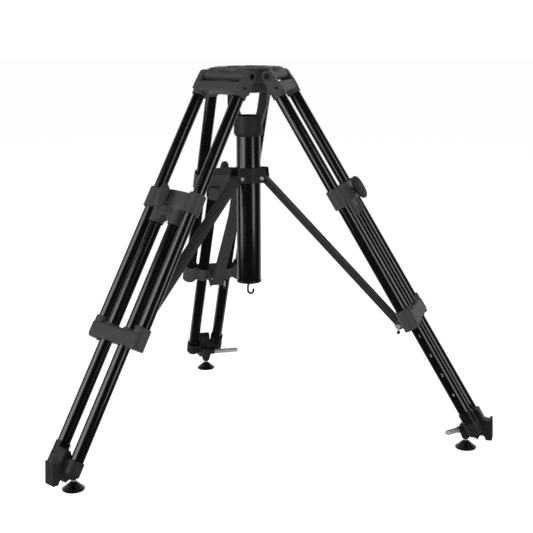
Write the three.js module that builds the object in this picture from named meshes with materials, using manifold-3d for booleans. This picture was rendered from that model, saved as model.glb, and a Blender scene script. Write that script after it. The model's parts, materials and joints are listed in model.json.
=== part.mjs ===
// Heavy-duty camera tripod: a 100 mm bowl, three twin-tube legs in two sections, a hanging
// centre column and a mid-level spreader. Millimetres, +Z up, leg 1 points along +X.
// Heights are measured from the bowl rim (z = 0) downwards. The finished group is shifted so that
// the origin lies on the column axis at the centroid, 500 mm above the floor.
import * as THREE from 'three';
import { mergeVertices } from 'three/addons/utils/BufferGeometryUtils.js';
import Module from 'manifold-3d';

const wasm = await Module();
wasm.setup();

const DEG = Math.PI / 180;
const GAP = 0.15; // running clearance between neighbouring pieces
const SIMPLIFY = 0.02; // slivers left by the booleans below this size are merged

// ---- driving dimensions -------------------------------------------------------------------
const HEIGHT = 842.6; // floor to bowl rim
const ORIGIN_HEIGHT = 500; // of the frame origin above the floor
const LEG_COUNT = 3;
const TILT = 30.4 * DEG; // leg from the vertical
const HINGE_R = 67.5; // hinge axis from the column axis
const HINGE_Z = -20.3;

const TUBE_R = 14; // outer and inner leg tubes are the same size
const TUBE_WALL = 1.6;
const OUTER_T = 66; // half spacing of the outer pair
const INNER_T = 31; // half spacing of the inner pair
const SLEEVE_R = 17; // shoulder sockets and inner guides
const CLAMP_SLEEVE_R = 19.2;
const BRACKET_SLEEVE_R = 18;

// distances down the leg from the hinge axis
const OUTER_TOP = 28;
const OUTER_END = 632;
const CLAMP_TOP = 290;
const CLAMP_END = 336;
const YOKE_END = 367;
const KNOB_S = 316;
const YOKE_SLOT = 356;
const INNER_TOP = 338;
const INNER_END = 896;
const BRACKET_TOP = 590;
const BRACKET_END = 637;
const BUMPER_TOP = 850;
const FOOT_TOP = 874;
const FOOT_END = 903;

const BOWL_R = 50;
const RING_R = 64;
const SPIGOT_R = 54;
const FLANGE_R = 77.5; // round flange of the top casting, just under the rim
const FLANGE_TOP = -0.8;

const LUG_R = 12.5;
const LUG_HALF = 64.5;
const EAR_IN = 65;
const EAR_OUT = 82;
const EAR_R = 13.5;
const SHOULDER_END = 54;
const BOLT_R = 4.8;

const COLUMN_R = 28;
const COLLAR_R = 34;
const COLLAR_TOP = -114;
const COLLAR_END = -162.8;
const COLUMN_TOP = -122;
const COLUMN_END = -495;
const CAP_END = -501.3;

const HUB_TOP = -233.8;
const HUB_END = -269.8;
const HUB_COLLAR_R = 30.6;
const HUB_PIN_R = 37.5;
const HUB_PIN_Z = -258;
const BRACE_WIDTH = 26;
const BRACE_THICK = 13;
const BRACE_PIN_R = 3.2;
const BRACKET_PIN_N = -37; // inward of the tube plane
const BRACKET_PIN_S = 625;

const BOSS_X = 496.5; // radius of the vertical foot axis
const BOSS_R = 13.3;
const SPIKE_Z = 44; // above the floor
const SPIKE_R = 5.4;
const PAD_R = 23;
const BALL_Z = 11;
const SOCKET_R = 6.8;
const SPIKE_SLEEVE_R = 7;
const SPIKE_SLEEVE_END = 23.5; // from the foot axis
// per leg: reach of the spike tip from the foot axis, and its heading, from straight inward
// towards the clockwise side
const SPIKE_REACH = [58, 89, 89];
const SPIKE_HEADING = [50, 90, 50];

const ALUMINIUM_BLACK = 0x16171a;
const CASTING_GREY = 0x3b3c3c;
const KNOB_GREY = 0x303032;
const STEEL = 0xb9babc;
const RUBBER = 0x111111;

// ---- solids ---------------------------------------------------------------------------------
function solid(geometry) {
  const bare = geometry.clone();
  bare.deleteAttribute('normal');
  bare.deleteAttribute('uv');
  const merged = mergeVertices(bare, 1e-4);
  const p = merged.attributes.position.array;
  const faces = [];
  let volume = 0;
  for (let i = 0; i < merged.index.count; i += 3) {
    const [a, b, c] = [0, 1, 2].map((k) => merged.index.getX(i + k));
    if (a === b || b === c || a === c) continue;
    faces.push(a, b, c);
    const [va, vb, vc] = [a, b, c].map((k) => new THREE.Vector3().fromArray(p, 3 * k));
    volume += va.dot(vb.cross(vc)) / 6;
  }
  if (volume < 0) faces.reverse();
  return new wasm.Manifold(
    new wasm.Mesh({
      numProp: 3,
      vertProperties: Float32Array.from(p),
      triVerts: Uint32Array.from(faces),
    }),
  );
}

function union(parts) {
  return parts.reduce((sum, part) => sum.add(part));
}

function cut(body, tools) {
  return tools.reduce((rest, tool) => rest.subtract(tool), body);
}

// box given by its extents along x, y and z
function box(x0, x1, y0, y1, z0, z1) {
  const g = new THREE.BoxGeometry(x1 - x0, y1 - y0, z1 - z0);
  return solid(g.translate((x0 + x1) / 2, (y0 + y1) / 2, (z0 + z1) / 2));
}

// upright cylinder or cone between two heights
function post(r0, r1, x, y, z0, z1, segments = 20) {
  const g = new THREE.CylinderGeometry(r1, r0, z1 - z0, segments);
  g.rotateX(Math.PI / 2);
  g.rotateZ(Math.PI / segments);
  return solid(g.translate(x, y, (z0 + z1) / 2));
}

// cylinder along y
function crossPost(r, x, z, y0, y1, segments = 16) {
  const g = new THREE.CylinderGeometry(r, r, y1 - y0, segments);
  return solid(g.translate(x, (y0 + y1) / 2, z));
}

// cylinder along x
function outPost(r0, r1, y, z, x0, x1, segments = 16) {
  const g = new THREE.CylinderGeometry(r1, r0, x1 - x0, segments);
  g.rotateZ(-Math.PI / 2);
  return solid(g.translate((x0 + x1) / 2, y, z));
}

// body of revolution about z from [radius, height] pairs; the profile closes on itself
// unless it starts and ends on the axis
function turned(profile, segments = 32) {
  const points = profile.map(([r, z]) => new THREE.Vector2(r, z));
  const onAxis = profile[0][0] === 0 && profile[profile.length - 1][0] === 0;
  if (!onAxis) points.push(points[0].clone());
  const g = new THREE.LatheGeometry(points, segments);
  g.rotateX(Math.PI / 2);
  return solid(g);
}

function outline(points) {
  return new THREE.Shape(points.map(([x, y]) => new THREE.Vector2(x, y)));
}

// outline in the xy plane, raised from z0 to z1
function slab(points, z0, z1) {
  const g = new THREE.ExtrudeGeometry(outline(points), { depth: z1 - z0, bevelEnabled: false });
  return solid(g.translate(0, 0, z0));
}

// outline of [x, z] pairs, run along y from y0 to y1
function sideSlab(points, y0, y1) {
  const g = new THREE.ExtrudeGeometry(outline(points), { depth: y1 - y0, bevelEnabled: false });
  g.rotateX(Math.PI / 2);
  return solid(g.translate(0, y1, 0));
}

// outline of [y, z] pairs, run along x from x0 to x1
function frontSlab(points, x0, x1) {
  const g = new THREE.ExtrudeGeometry(outline(points), { depth: x1 - x0, bevelEnabled: false });
  g.rotateX(Math.PI / 2);
  g.rotateZ(Math.PI / 2);
  return solid(g.translate(x0, 0, 0));
}

function pipe(outer, inner, x, y, z0, z1, segments = 20) {
  return cut(post(outer, outer, x, y, z0, z1, segments), [
    post(inner, inner, x, y, z0 - 1, z1 + 1, segments),
  ]);
}

const both = (make) => [make(-1), make(1)];

// ---- top ------------------------------------------------------------------------------------
function hexagon(side, half) {
  const points = [];
  for (let k = 0; k < LEG_COUNT; k += 1) {
    const a = (k * 2 * Math.PI) / LEG_COUNT;
    for (const t of [-half, half]) {
      points.push([
        side * Math.cos(a) - t * Math.sin(a),
        side * Math.sin(a) + t * Math.cos(a),
      ]);
    }
  }
  return points;
}

function tapered(pointsLow, pointsHigh, z0, z1) {
  const n = pointsLow.length;
  const ring = (points, z) => points.map(([x, y]) => [x, y, z]);
  const v = [...ring(pointsLow, z0), ...ring(pointsHigh, z1), [0, 0, z0], [0, 0, z1]];
  const index = [];
  for (let i = 0; i < n; i += 1) {
    const j = (i + 1) % n;
    index.push(i, j, n + j, i, n + j, n + i, j, i, 2 * n, n + i, n + j, 2 * n + 1);
  }
  const g = new THREE.BufferGeometry();
  g.setAttribute('position', new THREE.Float32BufferAttribute(v.flat(), 3));
  g.setIndex(index);
  return solid(g);
}

function aroundLegs(make) {
  const parts = [];
  for (let k = 0; k < LEG_COUNT; k += 1) parts.push(make().rotate([0, 0, (k * 360) / LEG_COUNT]));
  return parts;
}

function topCasting() {
  const body = [
    slab(hexagon(61, 58), -34, -6),
    tapered(hexagon(70, 60), hexagon(67, 57), -6.2, -2.2),
    post(FLANGE_R, FLANGE_R, 0, 0, -8, FLANGE_TOP, 48),
    post(50, 50, 0, 0, -60, -33.5, 32),
  ];
  const lugs = aroundLegs(() =>
    union([
      crossPost(LUG_R, HINGE_R, HINGE_Z, -LUG_HALF, LUG_HALF),
      box(50, HINGE_R, -56, 56, HINGE_Z - LUG_R, HINGE_Z + LUG_R - 1),
    ]),
  );
  const boltHoles = aroundLegs(() =>
    crossPost(BOLT_R + GAP, HINGE_R, HINGE_Z, -LUG_HALF - 1, LUG_HALF + 1, 16),
  );
  return cut(union([...body, ...lugs]), [
    ...boltHoles,
    post(RING_R + 0.3, RING_R + 0.3, 0, 0, -5, 5, 40),
    post(SPIGOT_R + 0.25, SPIGOT_R + 0.25, 0, 0, -24.3, 5, 40),
    post(46.5, 46.5, 0, 0, -32, 5, 32),
    post(33, 33, 0, 0, -70, 5, 32),
  ]);
}

function bowlRing() {
  const profile = [
    [46, -31.5],
    [46, -24],
    [SPIGOT_R, -24],
    [SPIGOT_R, -5],
    [RING_R, -5],
    [RING_R, -0.8],
    [RING_R - 0.8, 0],
    [BOWL_R + 1, 0],
  ];
  for (let z = -1; z >= -30; z -= 7) profile.push([Math.sqrt(BOWL_R ** 2 - z * z), z]);
  profile.push([Math.sqrt(BOWL_R ** 2 - 31.5 ** 2), -31.5]);
  const notch = () => box(BOWL_R - 4, RING_R + 2, -6, 6, -2.6, 2);
  const slit = () => box(BOWL_R - 4, RING_R + 2, -1.6, 1.6, -3.2, 2).rotate([0, 0, 60]);
  return cut(turned(profile, 40), [...aroundLegs(notch), ...aroundLegs(slit)]);
}

function columnYoke() {
  const collar = turned([
    [COLUMN_R + GAP, COLLAR_TOP],
    [COLLAR_R - 1, COLLAR_TOP],
    [COLLAR_R, COLLAR_TOP - 1],
    [COLLAR_R, COLLAR_END + 7],
    [COLLAR_R - 4, COLLAR_END],
    [COLUMN_R + GAP, COLLAR_END],
  ]);
  const arm = (s) =>
    sideSlab(
      [
        [s * (COLUMN_R + 1.5), COLLAR_TOP - 20],
        [s * (COLLAR_R - 1), COLLAR_TOP - 20],
        [s * 40, COLLAR_TOP + 6],
        [s * 47, COLLAR_TOP + 24],
        [s * 47, -60],
        [s * 34, -60],
        [s * 30, COLLAR_TOP + 26],
        [s * 20, COLLAR_TOP + 1],
        [s * 20, COLLAR_TOP - 1],
        [s * (COLUMN_R + 1.5), COLLAR_TOP - 1],
      ],
      -13,
      13,
    );
  return union([collar, ...both(arm)]);
}

function centreColumn() {
  return turned([
    [COLUMN_R - 2.2, COLUMN_TOP],
    [COLUMN_R, COLUMN_TOP],
    [COLUMN_R, COLUMN_END],
    [COLUMN_R - 2.2, COLUMN_END],
  ]);
}

function columnCap() {
  return turned([
    [0, COLUMN_END + 12],
    [COLUMN_R - 2.2 - GAP, COLUMN_END + 12],
    [COLUMN_R - 2.2 - GAP, COLUMN_END - 0.05],
    [COLUMN_R + 0.6, COLUMN_END - 0.05],
    [COLUMN_R + 0.6, CAP_END + 1.5],
    [COLUMN_R - 1, CAP_END],
    [0, CAP_END],
  ]);
}

function hook() {
  const path = new THREE.CatmullRomCurve3(
    [
      [0, 0, CAP_END - 1],
      [0, 0, CAP_END - 12],
      [-3.5, 0, CAP_END - 17],
      [-3, 0, CAP_END - 23],
      [3, 0, CAP_END - 27],
      [9.5, 0, CAP_END - 24],
      [11.5, 0, CAP_END - 18],
      [10.8, 0, CAP_END - 13.5],
    ].map((p) => new THREE.Vector3(...p)),
  );
  const section = new THREE.Shape();
  section.absarc(0, 0, 2, 0, 2 * Math.PI);
  const wire = new THREE.ExtrudeGeometry(section, {
    steps: 18,
    curveSegments: 4,
    extrudePath: path,
    bevelEnabled: false,
  });
  const washer = turned([
    [0, CAP_END - 0.1],
    [6, CAP_END - 0.1],
    [6, CAP_END - 2],
    [4, CAP_END - 4],
    [0, CAP_END - 4],
  ], 24);
  return union([solid(wire), washer]);
}

// ---- spreader ---------------------------------------------------------------------------------
const EAR_GAP = BRACE_WIDTH / 2 + 0.6;
const EAR_THICK = 4.4;

function hub() {
  const collar = turned([
    [COLUMN_R + 0.35, HUB_TOP],
    [HUB_COLLAR_R, HUB_TOP],
    [HUB_COLLAR_R, HUB_END],
    [COLUMN_R + 0.35, HUB_END],
  ]);
  const profile = [
    [20, HUB_TOP + 0.2],
    [HUB_PIN_R + 6, HUB_TOP - 1],
    [HUB_PIN_R + 8, HUB_PIN_Z + 4],
    [HUB_PIN_R + 8, HUB_PIN_Z - 5],
    [HUB_PIN_R + 4, HUB_END + 1],
    [20, HUB_END + 0.2],
  ];
  const ears = aroundLegs(() =>
    union(both((s) => sideSlab(profile, s > 0 ? EAR_GAP : -EAR_GAP - EAR_THICK,
      s > 0 ? EAR_GAP + EAR_THICK : -EAR_GAP))),
  );
  const holes = aroundLegs(() =>
    crossPost(BRACE_PIN_R + GAP, HUB_PIN_R, HUB_PIN_Z, -30, 30, 12),
  );
  return cut(union([collar, ...ears]), [
    ...holes,
    post(COLUMN_R + 0.35, COLUMN_R + 0.35, 0, 0, HUB_END - 1, HUB_TOP + 1, 32),
  ]);
}

// ends of a brace in the leg plane: [radius, height]
const BRACE_TOP = [HUB_PIN_R, HUB_PIN_Z];
const BRACE_FOOT = [
  HINGE_R + BRACKET_PIN_S * Math.sin(TILT) + BRACKET_PIN_N * Math.cos(TILT),
  HINGE_Z - BRACKET_PIN_S * Math.cos(TILT) + BRACKET_PIN_N * Math.sin(TILT),
];

function brace() {
  const dx = BRACE_FOOT[0] - BRACE_TOP[0];
  const dz = BRACE_FOOT[1] - BRACE_TOP[1];
  const length = Math.hypot(dx, dz);
  const h = BRACE_THICK / 2;
  const bar = union([
    box(0, length, -BRACE_WIDTH / 2, BRACE_WIDTH / 2, -h, h),
    crossPost(h, 0, 0, -BRACE_WIDTH / 2, BRACE_WIDTH / 2),
    crossPost(h, length, 0, -BRACE_WIDTH / 2, BRACE_WIDTH / 2),
  ]);
  const groove = box(26, length - 26, -BRACE_WIDTH / 2 + 5, BRACE_WIDTH / 2 - 5, h - 1.2, h + 2);
  const drilled = cut(bar, [
    crossPost(BRACE_PIN_R + GAP, 0, 0, -30, 30, 12),
    crossPost(BRACE_PIN_R + GAP, length, 0, -30, 30, 12),
    groove,
    groove.mirror([0, 0, 1]),
  ]);
  return drilled
    .rotate([0, (Math.atan2(-dz, dx) * 180) / Math.PI, 0])
    .translate([BRACE_TOP[0], 0, BRACE_TOP[1]]);
}

function hubPin() {
  const reach = EAR_GAP + EAR_THICK;
  return union([
    crossPost(BRACE_PIN_R, HUB_PIN_R, HUB_PIN_Z, -reach - 1, reach + 1, 12),
    crossPost(4.6, HUB_PIN_R, HUB_PIN_Z, reach + 0.1, reach + 2.2, 12),
    crossPost(4.6, HUB_PIN_R, HUB_PIN_Z, -reach - 2.2, -reach - 0.1, 12),
  ]);
}

// Pivot screw of the brace foot with its finger lever. It stops inside the bracket lug, because
// the brace foot is the open pivot of the spreader linkage.
function bracePinLever() {
  const reach = EAR_GAP + EAR_THICK;
  const screw = union([
    crossPost(BRACE_PIN_R, 0, 0, -reach - 2.1, -EAR_GAP - 0.4, 12),
    crossPost(4.8, 0, 0, -reach - 5, -reach - 0.2, 12),
    box(-2.2, 2.2, -reach - 4.6, -reach - 1.6, -12, 0),
    crossPost(3.4, 0, -13.5, -reach - 6, -reach - 0.6, 12),
  ]);
  return screw
    .rotate([0, (TILT * 180) / Math.PI, 0])
    .translate([BRACKET_PIN_N, 0, -BRACKET_PIN_S]);
}

// ---- leg pieces in the leg frame: x outward, y across, z up along the leg from the hinge ------
function shoulder() {
  const ear = (s) => {
    const profile = [];
    for (let a = -10; a <= 190; a += 20) {
      profile.push([EAR_R * Math.cos(a * DEG), EAR_R * Math.sin(a * DEG)]);
    }
    profile.push([-14, -24], [-14, -42], [15, -42], [15, -22]);
    return sideSlab(profile, s > 0 ? EAR_IN : -EAR_OUT, s > 0 ? EAR_OUT : -EAR_IN);
  };
  const socket = (s) => post(SLEEVE_R, SLEEVE_R, 0, s * OUTER_T, -SHOULDER_END, -23);
  const plate = sideSlab(
    [[-9, -19], [10, -19], [15, -23], [15, -41], [12.5, -44], [-9, -44]],
    -EAR_IN - 1,
    EAR_IN + 1,
  );
  const relief = both((s) => {
    const ends = [s * (EAR_IN - 15), s * EAR_IN];
    return crossPost(LUG_R + 3.2, 0, 0, Math.min(...ends), Math.max(...ends));
  });
  return cut(union([...both(ear), ...both(socket), plate]), [
    ...relief,
    ...both((s) => post(TUBE_R + GAP, TUBE_R + GAP, 0, s * OUTER_T, -60, -OUTER_TOP + 0.1)),
    crossPost(BOLT_R + GAP, 0, 0, -EAR_OUT - 1, EAR_OUT + 1, 16),
  ]);
}

function hingeBolt() {
  return union([
    crossPost(BOLT_R, 0, 0, -EAR_OUT - 1, EAR_OUT + 1, 16),
    crossPost(6.2, 0, 0, EAR_OUT + 0.1, EAR_OUT + 2.4, 6),
    crossPost(6.2, 0, 0, -EAR_OUT - 2.4, -EAR_OUT - 0.1, 16),
  ]);
}

const outerTube = (s) =>
  pipe(TUBE_R, TUBE_R - TUBE_WALL, 0, s * OUTER_T, -OUTER_END, -OUTER_TOP);
const innerTube = (s) =>
  pipe(TUBE_R, TUBE_R - TUBE_WALL, 0, s * INNER_T, -INNER_END, -INNER_TOP);

// bridge between the tubes with a bulged outer face; outline of [x, y]
function bridge(half, flat, bulge, inner, z0, z1) {
  const points = [[-inner, -half]];
  for (let i = 0; i <= 6; i += 1) {
    const u = -1 + i / 3;
    points.push([flat + bulge * (1 - u * u), u * half]);
  }
  points.push([-inner, half]);
  return slab(points, z0, z1);
}

// plate that joins the inner tubes under the clamp, with a round-topped slot between them
function innerYoke() {
  const slot = [];
  for (let a = 180; a >= 0; a -= 30) {
    slot.push([9 * Math.cos(a * DEG), -YOKE_SLOT + 9 * Math.sin(a * DEG)]);
  }
  const plate = frontSlab(
    [[-INNER_T, -YOKE_END + 3], [-13, -YOKE_END + 8], ...slot, [13, -YOKE_END + 8],
      [INNER_T, -YOKE_END + 3], [INNER_T, -CLAMP_END + 3], [-INNER_T, -CLAMP_END + 3]],
    -10,
    13,
  );
  return union([
    plate,
    ...both((s) => post(SLEEVE_R, SLEEVE_R, 0, s * INNER_T, -YOKE_END, -CLAMP_END + 6)),
  ]);
}

function legClamp() {
  const body = [
    ...both((s) => post(CLAMP_SLEEVE_R, CLAMP_SLEEVE_R, 0, s * OUTER_T, -CLAMP_END, -CLAMP_TOP)),
    bridge(OUTER_T - 6, 12, 11, 9, -CLAMP_END + 3, -CLAMP_TOP - 3),
    outPost(12, 10, 0, -KNOB_S, 15, 25.5),
    innerYoke(),
  ];
  const bores = [
    ...both((s) => post(TUBE_R + GAP, TUBE_R + GAP, 0, s * OUTER_T, -CLAMP_END - 5, -CLAMP_TOP + 5)),
    ...both((s) => post(TUBE_R + GAP, TUBE_R + GAP, 0, s * INNER_T, -YOKE_END - 5, -INNER_TOP + 0.1)),
  ];
  return cut(union(body), bores);
}

// soft grip: an ellipsoid with its faces flattened
function clampKnob() {
  const grip = new THREE.SphereGeometry(1, 14, 10);
  const p = grip.attributes.position;
  const full = (c) => Math.sign(c) * Math.abs(c) ** 0.78;
  for (let i = 0; i < p.count; i += 1) {
    p.setXYZ(i, 11.5 * full(p.getX(i)), 12.5 * full(p.getY(i)), 28 * full(p.getZ(i)));
  }
  grip.translate(38.5, 0, -KNOB_S);
  return union([outPost(7.5, 7, 0, -KNOB_S, 25.8, 32), solid(grip)]);
}

function midBracket() {
  const z = -BRACKET_PIN_S;
  const band = sideSlab(
    [[-10, -BRACKET_TOP - 13], [14, -BRACKET_TOP - 13], [18, -BRACKET_TOP - 17],
      [18, -BRACKET_END + 6], [14, -BRACKET_END + 2], [-10, -BRACKET_END + 2]],
    -OUTER_T - 10,
    OUTER_T + 10,
  );
  const body = [
    band,
    ...both((s) => post(BRACKET_SLEEVE_R, BRACKET_SLEEVE_R, 0, s * OUTER_T, -BRACKET_END,
      -BRACKET_TOP)),
    ...both((s) => post(SLEEVE_R, SLEEVE_R, 0, s * INNER_T, -BRACKET_END + 1, -BRACKET_TOP - 9)),
    ...both((s) => post(3.6, 3.6, 8, s * 49, -BRACKET_END - 4, -BRACKET_END + 4, 8)),
    crossPost(4.6, BRACKET_PIN_N, z, EAR_GAP + EAR_THICK - 1, EAR_GAP + EAR_THICK + 2.4, 12),
  ];
  const lug = (s) => {
    const profile = [
      [-7, z + 22],
      [BRACKET_PIN_N - 4, z + 9],
      [BRACKET_PIN_N - 8, z + 3],
      [BRACKET_PIN_N - 8, z - 4],
      [BRACKET_PIN_N - 3, z - 9],
      [-7, z - 11],
    ];
    return sideSlab(profile, s > 0 ? EAR_GAP : -EAR_GAP - EAR_THICK,
      s > 0 ? EAR_GAP + EAR_THICK : -EAR_GAP);
  };
  const bores = [
    ...both((s) => post(TUBE_R + GAP, TUBE_R + GAP, 0, s * OUTER_T, -OUTER_END - 0.1,
      -BRACKET_TOP + 5)),
    ...both((s) => post(TUBE_R + 0.3, TUBE_R + 0.3, 0, s * INNER_T, -BRACKET_END - 5,
      -BRACKET_TOP + 5)),
    crossPost(BRACE_PIN_R + GAP, BRACKET_PIN_N, z, -30, 0, 12),
  ];
  return cut(union([...body, ...both(lug)]), bores);
}

const LEG_PLACE = new THREE.Matrix4()
  .makeTranslation(HINGE_R, 0, HINGE_Z)
  .multiply(new THREE.Matrix4().makeRotationY(-TILT));
const FLOOR_TO_RIM = new THREE.Matrix4().makeTranslation(0, 0, -HEIGHT);

// a body built upright in the leg plane, floor at z = 0, carried into the leg frame
function uprightInLeg(body) {
  const matrix = LEG_PLACE.clone().invert().multiply(FLOOR_TO_RIM);
  return body.transform(matrix.elements);
}

function footCasting() {
  // outline of the web and of the upright step plate, as [outward from the foot axis, height]
  const web = [
    [8.5, 56], [15, 84], [23, 90], [29, 90], [41, 68], [51, 66], [55, 71], [59, 71], [59, 26],
    [57, 24], [44.5, 24], [43, 30], [40, 33], [36, 34], [32, 32.5], [29.5, 28], [28, 24],
    [22, 27], [8.5, 30],
  ].map(([out, height]) => [BOSS_X + out, height]);
  const body = [
    ...both((s) => post(SLEEVE_R, SLEEVE_R, 0, s * INNER_T, -FOOT_END, -FOOT_TOP)),
    box(-12, 12, -INNER_T, INNER_T, -FOOT_END + 2, -FOOT_TOP - 3),
    uprightInLeg(sideSlab(web, -14, 14)),
  ];
  return cut(union(body), [
    ...both((s) => post(TUBE_R + GAP, TUBE_R + GAP, 0, s * INNER_T, -INNER_END - 0.1,
      -FOOT_TOP + 5)),
    uprightInLeg(post(BOSS_R + 0.4, BOSS_R + 0.4, BOSS_X, 0, 0, 90)),
  ]);
}

const footBumper = () =>
  pipe(SLEEVE_R - 0.4, TUBE_R + 0.1, 0, -INNER_T, -FOOT_TOP + 0.1, -BUMPER_TOP);

// ---- foot pieces in the leg plane, floor at z = 0 ---------------------------------------------
function footBoss(heading) {
  const ball = [];
  for (let a = -50; a <= 50; a += 50) {
    ball.push([6 * Math.cos(a * DEG), BALL_Z + 6 * Math.sin(a * DEG)]);
  }
  const profile = [
    [0, BALL_Z - 6],
    ...ball,
    [3.5, BALL_Z + 6],
    [3.5, 20],
    [8, 21.5],
    [BOSS_R, 36],
    [BOSS_R, 51],
    [BOSS_R - 3, 53.5],
    [0, 53.5],
  ];
  const sleeve = spikeBlank(SPIKE_SLEEVE_R, 8, SPIKE_SLEEVE_END).rotate([0, 0, 180 + heading]);
  const bore = spikeBlank(SPIKE_R + GAP, 9, 30).rotate([0, 0, 180 + heading]);
  return cut(turned(profile, 16).add(sleeve), [bore]).translate([BOSS_X, 0, 0]);
}

// rod along +x at spike height
const spikeBlank = (r, x0, x1) => outPost(r, r, 0, SPIKE_Z, x0, x1);

function spike(heading, reach) {
  const rod = union([
    spikeBlank(SPIKE_R, 9.3, reach - 7),
    outPost(SPIKE_R, 3, 0, SPIKE_Z, reach - 7, reach),
  ]);
  return rod.rotate([0, 0, 180 + heading]).translate([BOSS_X, 0, 0]);
}

function footPad() {
  const socket = [];
  for (let a = 28; a >= -62; a -= 45) {
    socket.push([SOCKET_R * Math.cos(a * DEG), BALL_Z + SOCKET_R * Math.sin(a * DEG)]);
  }
  const profile = [
    [0, 0],
    [PAD_R - 1, 0],
    [PAD_R, 1],
    [PAD_R, 3.4],
    [8.2, BALL_Z + 4],
    ...socket,
    [0, BALL_Z - SOCKET_R],
  ];
  return turned(profile, 20).translate([BOSS_X, 0, 0]);
}

// ---- assembly -----------------------------------------------------------------------------------
const group = new THREE.Group();

function addMesh(name, body, colour, matrix = new THREE.Matrix4()) {
  const { vertProperties, triVerts, numProp } = body.simplify(SIMPLIFY).getMesh();
  const position = new Float32Array((vertProperties.length / numProp) * 3);
  for (let i = 0; i < position.length / 3; i += 1) {
    for (let k = 0; k < 3; k += 1) position[3 * i + k] = vertProperties[numProp * i + k];
  }
  const g = new THREE.BufferGeometry();
  g.setAttribute('position', new THREE.BufferAttribute(position, 3));
  g.setIndex(new THREE.BufferAttribute(new Uint32Array(triVerts), 1));
  g.applyMatrix4(matrix);
  const flat = g.toNonIndexed();
  flat.computeVertexNormals();
  const material = new THREE.MeshStandardMaterial({ color: colour, roughness: 0.5 });
  const mesh = new THREE.Mesh(flat, material);
  mesh.name = name;
  group.add(mesh);
}

addMesh('top_casting', topCasting(), CASTING_GREY);
addMesh('bowl_ring', bowlRing(), ALUMINIUM_BLACK);
addMesh('column_yoke', columnYoke(), CASTING_GREY);
addMesh('centre_column', centreColumn(), ALUMINIUM_BLACK);
addMesh('column_end_cap', columnCap(), RUBBER);
addMesh('ballast_hook', hook(), RUBBER);
addMesh('spreader_hub', hub(), CASTING_GREY);

for (let k = 0; k < LEG_COUNT; k += 1) {
  const n = k + 1;
  const turn = new THREE.Matrix4().makeRotationZ((k * 2 * Math.PI) / LEG_COUNT);
  const leg = turn.clone().multiply(LEG_PLACE);
  const upright = turn.clone().multiply(FLOOR_TO_RIM);
  const heading = SPIKE_HEADING[k];
  addMesh(`shoulder_${n}`, shoulder(), CASTING_GREY, leg);
  addMesh(`hinge_bolt_${n}`, hingeBolt(), ALUMINIUM_BLACK, leg);
  addMesh(`outer_tube_${n}_cw`, outerTube(-1), ALUMINIUM_BLACK, leg);
  addMesh(`outer_tube_${n}_ccw`, outerTube(1), ALUMINIUM_BLACK, leg);
  addMesh(`mid_bracket_${n}`, midBracket(), CASTING_GREY, leg);
  addMesh(`leg_clamp_${n}`, legClamp(), CASTING_GREY, leg);
  addMesh(`clamp_knob_${n}`, clampKnob(), KNOB_GREY, leg);
  addMesh(`inner_tube_${n}_cw`, innerTube(-1), ALUMINIUM_BLACK, leg);
  addMesh(`inner_tube_${n}_ccw`, innerTube(1), ALUMINIUM_BLACK, leg);
  addMesh(`brace_${n}`, brace(), CASTING_GREY, turn);
  addMesh(`hub_pin_${n}`, hubPin(), STEEL, turn);
  addMesh(`brace_pin_lever_${n}`, bracePinLever(), STEEL, leg);
  addMesh(`foot_casting_${n}`, footCasting(), CASTING_GREY, leg);
  addMesh(`foot_bumper_${n}`, footBumper(), RUBBER, leg);
  addMesh(`foot_boss_${n}`, footBoss(heading), CASTING_GREY, upright);
  addMesh(`spike_${n}`, spike(heading, SPIKE_REACH[k]), STEEL, upright);
  addMesh(`foot_pad_${n}`, footPad(), RUBBER, upright);
}

for (const mesh of group.children) mesh.geometry.translate(0, 0, HEIGHT - ORIGIN_HEIGHT);

export default group;
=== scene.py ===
"""Looks for a heavy-duty twin-tube camera tripod: fine meshes, procedural finishes and a studio.

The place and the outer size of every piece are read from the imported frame, and the constants
below give the finer details. Lengths are in metres. Three kinds of frame are used: a leg frame
(x outward, y across, z up along the leg, origin on the hinge axis), a turn frame (the object's
frame turned to face a leg), and the object's frame.
"""
import json
import math

import bmesh
import bpy
from mathutils import Matrix, Vector


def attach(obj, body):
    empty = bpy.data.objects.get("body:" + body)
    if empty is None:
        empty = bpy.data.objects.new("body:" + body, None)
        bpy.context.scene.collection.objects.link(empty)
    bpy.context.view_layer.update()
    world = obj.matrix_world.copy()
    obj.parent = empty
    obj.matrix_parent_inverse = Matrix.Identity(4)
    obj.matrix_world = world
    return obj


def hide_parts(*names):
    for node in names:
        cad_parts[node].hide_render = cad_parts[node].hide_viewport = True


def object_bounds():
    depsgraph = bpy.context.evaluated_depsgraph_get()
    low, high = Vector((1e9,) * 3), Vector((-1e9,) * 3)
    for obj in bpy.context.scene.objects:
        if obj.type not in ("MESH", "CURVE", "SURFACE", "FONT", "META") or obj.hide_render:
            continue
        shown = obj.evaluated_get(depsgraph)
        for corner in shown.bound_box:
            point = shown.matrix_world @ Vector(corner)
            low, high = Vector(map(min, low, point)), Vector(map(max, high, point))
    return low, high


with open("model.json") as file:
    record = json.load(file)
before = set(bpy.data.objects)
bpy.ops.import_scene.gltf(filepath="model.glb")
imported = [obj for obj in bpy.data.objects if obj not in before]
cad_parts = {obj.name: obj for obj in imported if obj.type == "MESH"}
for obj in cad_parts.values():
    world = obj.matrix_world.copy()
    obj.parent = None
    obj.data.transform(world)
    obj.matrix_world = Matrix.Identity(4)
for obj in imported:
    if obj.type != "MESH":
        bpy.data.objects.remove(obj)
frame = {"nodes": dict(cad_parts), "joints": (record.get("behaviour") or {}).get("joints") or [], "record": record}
CAD_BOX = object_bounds()
NODES = frame["nodes"]
JOINTS = {joint["name"]: joint for joint in frame["joints"]}
OWNER = {node: body for body, nodes in frame["record"]["behaviour"]["bodies"].items()
         for node in nodes}

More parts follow.
